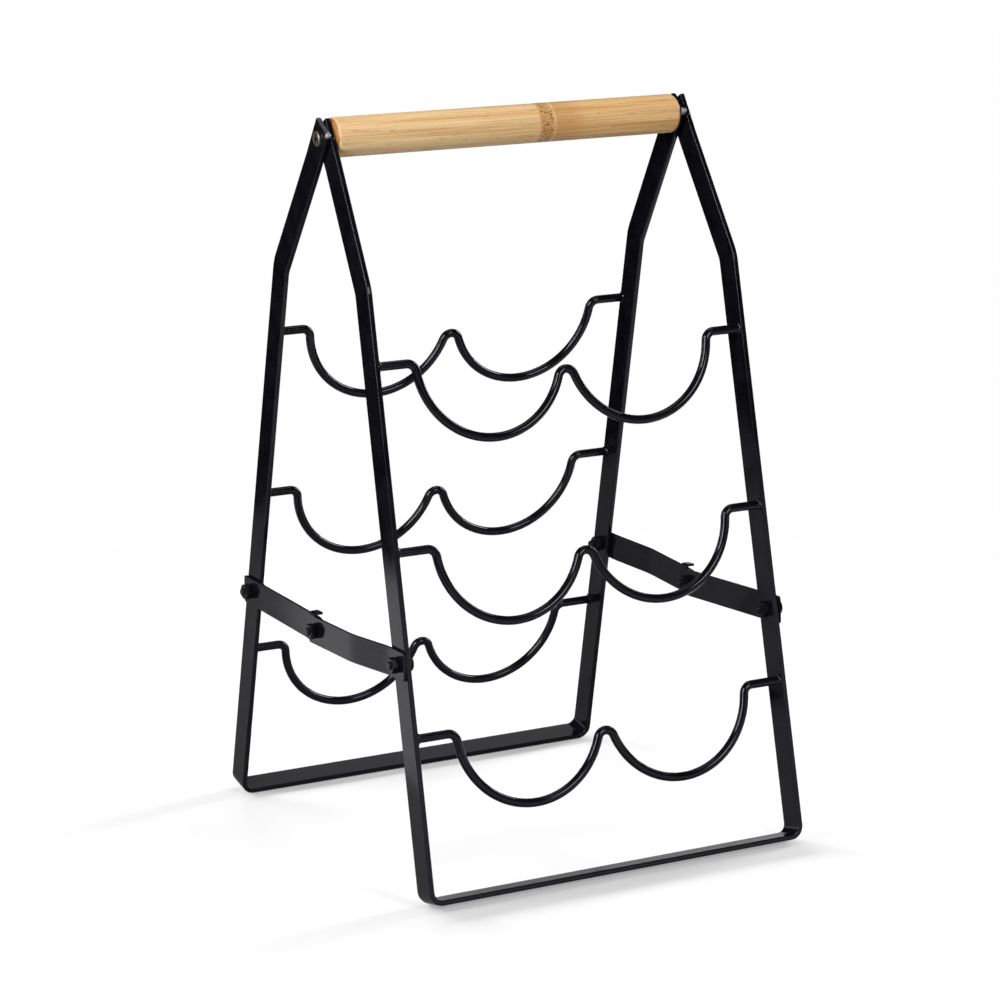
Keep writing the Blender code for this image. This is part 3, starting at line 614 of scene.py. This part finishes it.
# Brace bolts and nuts
# M5 hex bolts and nuts, cold formed from steel, the thread rolled at a 0.8 mm pitch, blackened. Heads are on
# the right of every joint and nuts on the left. Each back one is in two parts, which meet at both ends of the
# fold: one rides in the leg and the other on the link.
BOLT_DIAMETER = 0.005
BOLT_ROOT = 0.0042
BOLT_PITCH = 0.0008
BOLT_HEAD_HEIGHT = 0.0035
HEX_FLATS = 0.008
HEX_CORNERS = HEX_FLATS / math.cos(math.pi / 6)
HEX_FACE = 0.0076
HEX_STOCK = 0.0094
CHAMFER_SLOPE = math.tan(math.radians(30))
CHAMFER_SIDES = 72
CUT_PAST = 0.0001
NUT_HEIGHT = 0.004
NUT_BORE = 0.0052
BOLT_END_EASE = 0.0002
BOLT_ROOT_SUNK = 0.0001
TIPS = {"left": 0.0012, "right": 0.003}

# Black-passivated zinc plate on steel: the thin, nearly black film over the zinc is glassy, a little uneven
# and glossier than the powder coat.
black_zinc, tree, place = new_finish("black_passivated_zinc")
cloud = add(tree, "ShaderNodeTexNoise", {"Vector": place, "Scale": 600.0, "Detail": 3.0})
tint = add(tree, "ShaderNodeValToRGB", {"Fac": cloud.outputs["Fac"]}, [(0.3, "#08080a"), (0.7, "#121215")])
dull = add(tree, "ShaderNodeMapRange", {"Value": cloud.outputs["Fac"], "To Min": 0.14, "To Max": 0.24})
lay(tree, add(tree, "ShaderNodeBsdfPrincipled", {
    "Base Color": tint.outputs["Color"], "IOR": 1.27, "Roughness": dull.outputs["Result"]}))


def hexagon(start, height, both_ends):
    """A hex prism along X from its start, its corners turned off to 30 degrees at the free end or at both.

    The round stock that it is cut from is a little wider and longer, so that no two of their faces coincide.
    """
    prism = round_bar(start + height / 2, 0, 0, HEX_CORNERS, height, 6)
    drop = (HEX_STOCK - HEX_FACE) / 2 * CHAMFER_SLOPE
    low = start + drop if both_ends else start - CUT_PAST
    high = start + height - drop
    stock = round_bar((low + high) / 2, 0, 0, HEX_STOCK, high - low, CHAMFER_SIDES)
    ends = [face for face in stock.faces if len(face.verts) > 4]
    caps = sorted(ends, key=lambda cap: cap.calc_center_median().x)
    for cap in caps if both_ends else caps[1:]:
        way = 1 if cap is caps[1] else -1
        end = pull(stock, cap, Vector((way * (drop + CUT_PAST), 0, 0)))
        share = (HEX_FACE - 2 * CUT_PAST / CHAMFER_SLOPE) / HEX_STOCK
        bmesh.ops.scale(stock, vec=(1, share, share), verts=end.verts)
    bmesh.ops.recalc_face_normals(stock, faces=stock.faces)
    return carve(prism, stock, "INTERSECT")


def threaded_end(shape, start, end):
    """The bolt's end from inside its nut to its tip, towards -X."""
    core = round_bar((start + end) / 2, 0, 0, BOLT_ROOT, start - end, SHANK_SIDES)
    tip = min(core.faces, key=lambda face: face.calc_center_median().x)
    ease(core, tip.edges[:], BOLT_END_EASE, 2)
    turns = (start - end - BOLT_END_EASE) / BOLT_PITCH - 1
    add_thread(core, start, turns, BOLT_PITCH, BOLT_ROOT / 2 - BOLT_ROOT_SUNK, BOLT_DIAMETER / 2)
    join(shape, core)


for side_name, side in SIDES.items():
    back_bodies = ("back_frame", f"back_{side_name}_link")
    bodies = {"front": ("front_frame", "front_frame"), "back": back_bodies if side < 0 else back_bodies[::-1],
              "middle": (f"front_{side_name}_link",) * 2}
    for place_name, (bolt_body, nut_body) in bodies.items():
        stem = f"{place_name}_{side_name}"
        bolt_low, bolt_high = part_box(f"{stem}_brace_bolt")
        nut_low, nut_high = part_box(f"{stem}_brace_nut")
        head_seat = bolt_high[0] - BOLT_HEAD_HEIGHT
        parted = place_name == "back"
        tip = nut_low[0] if parted else bolt_low[0]
        nut_seat = tip + TIPS[side_name] + NUT_HEIGHT
        bolt = hexagon(head_seat, BOLT_HEAD_HEIGHT, False)
        nut = hexagon(nut_seat - NUT_HEIGHT, NUT_HEIGHT, True)
        nut = carve(nut, round_bar(nut_seat, 0, 0, NUT_BORE, 4 * NUT_HEIGHT))
        thread_start = nut_seat - NUT_HEIGHT + 2 * BOLT_PITCH
        shank_end = bolt_low[0] if parted else thread_start
        join(bolt, round_bar((head_seat + shank_end) / 2, 0, 0, BOLT_DIAMETER, head_seat - shank_end,
                             SHANK_SIDES))
        if parted:
            length = nut_high[0] - thread_start
            join(nut, round_bar(thread_start + length / 2, 0, 0, BOLT_DIAMETER, length, SHANK_SIDES))
        threaded_end(nut if parted else bolt, thread_start, tip)
        for kind, shape, body in (("bolt", bolt, bolt_body), ("nut", nut, nut_body)):
            piece = finished(f"{stem}_hex_{kind}", shape, black_zinc, Matrix.Translation(pivot(stem)))
            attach(piece, body)
            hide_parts(f"{stem}_brace_{kind}")

# Studio
# The rack stands on a round white table top, lit a little from below, in a white room. Beyond the table lies
# black cloth, a tent of it hangs over the whole, and a grey card lies under and behind the rack. The picture
# shows none of the three: the black coat mirrors them, and of the room only the walls at eye level.
TABLE_RADIUS = 0.72
FRONT_LIFT = 0.42
BACK_LIFT = 0.05
LIFT_FROM, LIFT_TO = -0.3, 0.6
CLOTH_RADIUS = 8.0
CLOTH_DROP = 0.01
TENT_RADIUS = 2.6
TENT_HEM = 0.55
CARD_HEIGHT = 0.001
CARD_CORNERS = ((0.2, 0.8), (-0.47, 0.8), (-0.26, 0.33), (-0.225, 0.25), (-0.2, -0.2), (0.2, -0.2))
WALL_LIGHT = 0.6


def shown(tree):
    """1 for a ray that shows a surface to the camera, straight or by gloss or glass, and 0 for any other."""
    rays = add(tree, "ShaderNodeLightPath")
    seen = add(tree, "ShaderNodeMath", {0: rays.outputs["Is Camera Ray"], 1: rays.outputs["Is Glossy Ray"]},
               operation="MAXIMUM")
    return add(tree, "ShaderNodeMath", {0: seen.outputs[0], 1: rays.outputs["Is Transmission Ray"]},
               operation="MAXIMUM").outputs[0]


# White acrylic sheet, matt, which glows a little where it shows, more at the front than at the back.
white_table, tree, place = new_finish("white_table_top")
parts = add(tree, "ShaderNodeSeparateXYZ", {"Vector": place})
glow = add(tree, "ShaderNodeMapRange", {"Value": parts.outputs["Y"], "From Min": LIFT_FROM,
                                        "From Max": LIFT_TO, "To Min": FRONT_LIFT, "To Max": BACK_LIFT})
lift = add(tree, "ShaderNodeMath", {0: shown(tree), 1: glow.outputs["Result"]}, operation="MULTIPLY")
lay(tree, add(tree, "ShaderNodeBsdfPrincipled", {
    "Base Color": linear("#c4c4c4"), "Roughness": 0.9, "Specular IOR Level": 0.0,
    "Emission Color": (1, 1, 1, 1), "Emission Strength": lift.outputs[0]}))
table = bmesh.new()
bmesh.ops.create_circle(table, cap_ends=True, radius=TABLE_RADIUS, segments=128)
table_top = bare_object("table_top", table)
table_top.data.materials.append(white_table)

# Black cotton cloth and matt grey card.
black_cloth, cloth_tree, place = new_finish("black_cloth")
grey_card, card_tree, place = new_finish("grey_card")
for tree, colour in ((cloth_tree, "#050505"), (card_tree, "#909090")):
    lay(tree, add(tree, "ShaderNodeBsdfPrincipled", {"Base Color": linear(colour), "Roughness": 1.0,
                                                     "Specular IOR Level": 0.0}))
cloth = bmesh.new()
bmesh.ops.create_circle(cloth, cap_ends=True, radius=CLOTH_RADIUS, segments=64,
                        matrix=Matrix.Translation((0, 0, -CLOTH_DROP)))
tent = bmesh.new()
bmesh.ops.create_uvsphere(tent, u_segments=64, v_segments=32, radius=TENT_RADIUS)
everything = tent.verts[:] + tent.edges[:] + tent.faces[:]
bmesh.ops.bisect_plane(tent, geom=everything, plane_co=(0, 0, TENT_HEM), plane_no=(0, 0, 1), clear_inner=True)
card = bmesh.new()
card.faces.new([card.verts.new((x, y, CARD_HEIGHT)) for x, y in CARD_CORNERS])
for name, shape, finish in (("studio_floor", cloth, black_cloth), ("studio_tent", tent, black_cloth),
                            ("studio_card", card, grey_card)):
    hidden = bare_object(name, shape)
    hidden.data.materials.append(finish)
    hidden.visible_camera = False
    hidden.visible_diffuse = hidden.visible_shadow = finish is not grey_card

room = bpy.data.worlds.new("white_room")
room.use_nodes = True
tree = room.node_tree
tree.nodes.clear()
strength = add(tree, "ShaderNodeMapRange", {"Value": shown(tree), "To Min": WALL_LIGHT, "To Max": 1.0})
sky = add(tree, "ShaderNodeBackground", {"Color": (1, 1, 1, 1), "Strength": strength.outputs["Result"]})
add(tree, "ShaderNodeOutputWorld", {"Surface": sky.outputs["Background"]})
bpy.context.scene.world = room

# Soft boxes: name, place, width and height, watts, and what each lights if not everything. The left strip
# leaves out the table, and the low lamp behind lights the table alone, for the shadow before the front foot.
only_table = bpy.data.collections.new("only_table")
off_table = bpy.data.collections.new("off_table")
for group in (only_table, off_table):
    group.objects.link(table_top)
off_table.collection_objects[0].light_linking.link_state = "EXCLUDE"
SOFT_BOXES = (("overhead", (0.2, 0.25, 1.6), (0.95, 0.6), 4.0, None),
              ("left_strip", (-1.3, -0.75, 0.95), (0.35, 1.1), 34.0, off_table),
              ("left_box", (-1.26, 0.2, 0.95), (0.3, 0.8), 8.0, None),
              ("right_box", (1.34, 0.2, 0.85), (0.3, 0.8), 13.0, None),
              ("front_fill", (0.4, -1.8, 1.2), (0.7, 0.5), 17.0, None),
              ("back_right_panel", (1.1, 1.55, 1.35), (0.7, 0.7), 1.0, None),
              ("back_low", (-0.3, 2.2, 0.6), (2.2, 0.4), 140.0, only_table))
MIDDLE_OF_RACK = Vector((0, 0, 0.2))
for name, spot, size, power, lights in SOFT_BOXES:
    lamp = bpy.data.lights.new(name, "AREA")
    lamp.shape = "RECTANGLE"
    lamp.size, lamp.size_y = size
    lamp.energy = power
    soft_box = bpy.data.objects.new(name, lamp)
    aim = (MIDDLE_OF_RACK - Vector(spot)).to_track_quat("-Z", "Y").to_matrix().to_4x4()
    soft_box.matrix_world = Matrix.Translation(spot) @ aim
    soft_box.visible_camera = False
    soft_box.light_linking.receiver_collection = lights
    bpy.context.scene.collection.objects.link(soft_box)

# Camera
# A long lens from the rack's front left, a little above it, as the photograph was taken.
AIM = Vector((-0.0052, 0, 0.1907))
AZIMUTH, ELEVATION, ROLL = -0.4934, 0.2279, -0.0078
DISTANCE = 1.977
lens = bpy.data.cameras.new("camera")
lens.sensor_width = 36.0
lens.lens = 123.8
lens.clip_start = 0.05
camera = bpy.data.objects.new("camera", lens)
spot = Matrix.Translation(AIM) @ Matrix.Rotation(AZIMUTH, 4, "Z")
spot = spot @ Matrix.Rotation(math.pi / 2 - ELEVATION, 4, "X")
camera.matrix_world = spot @ Matrix.Translation((0, 0, DISTANCE)) @ Matrix.Rotation(ROLL, 4, "Z")
bpy.context.scene.collection.objects.link(camera)
bpy.context.scene.camera = camera
bpy.context.scene.view_settings.view_transform = "Standard"
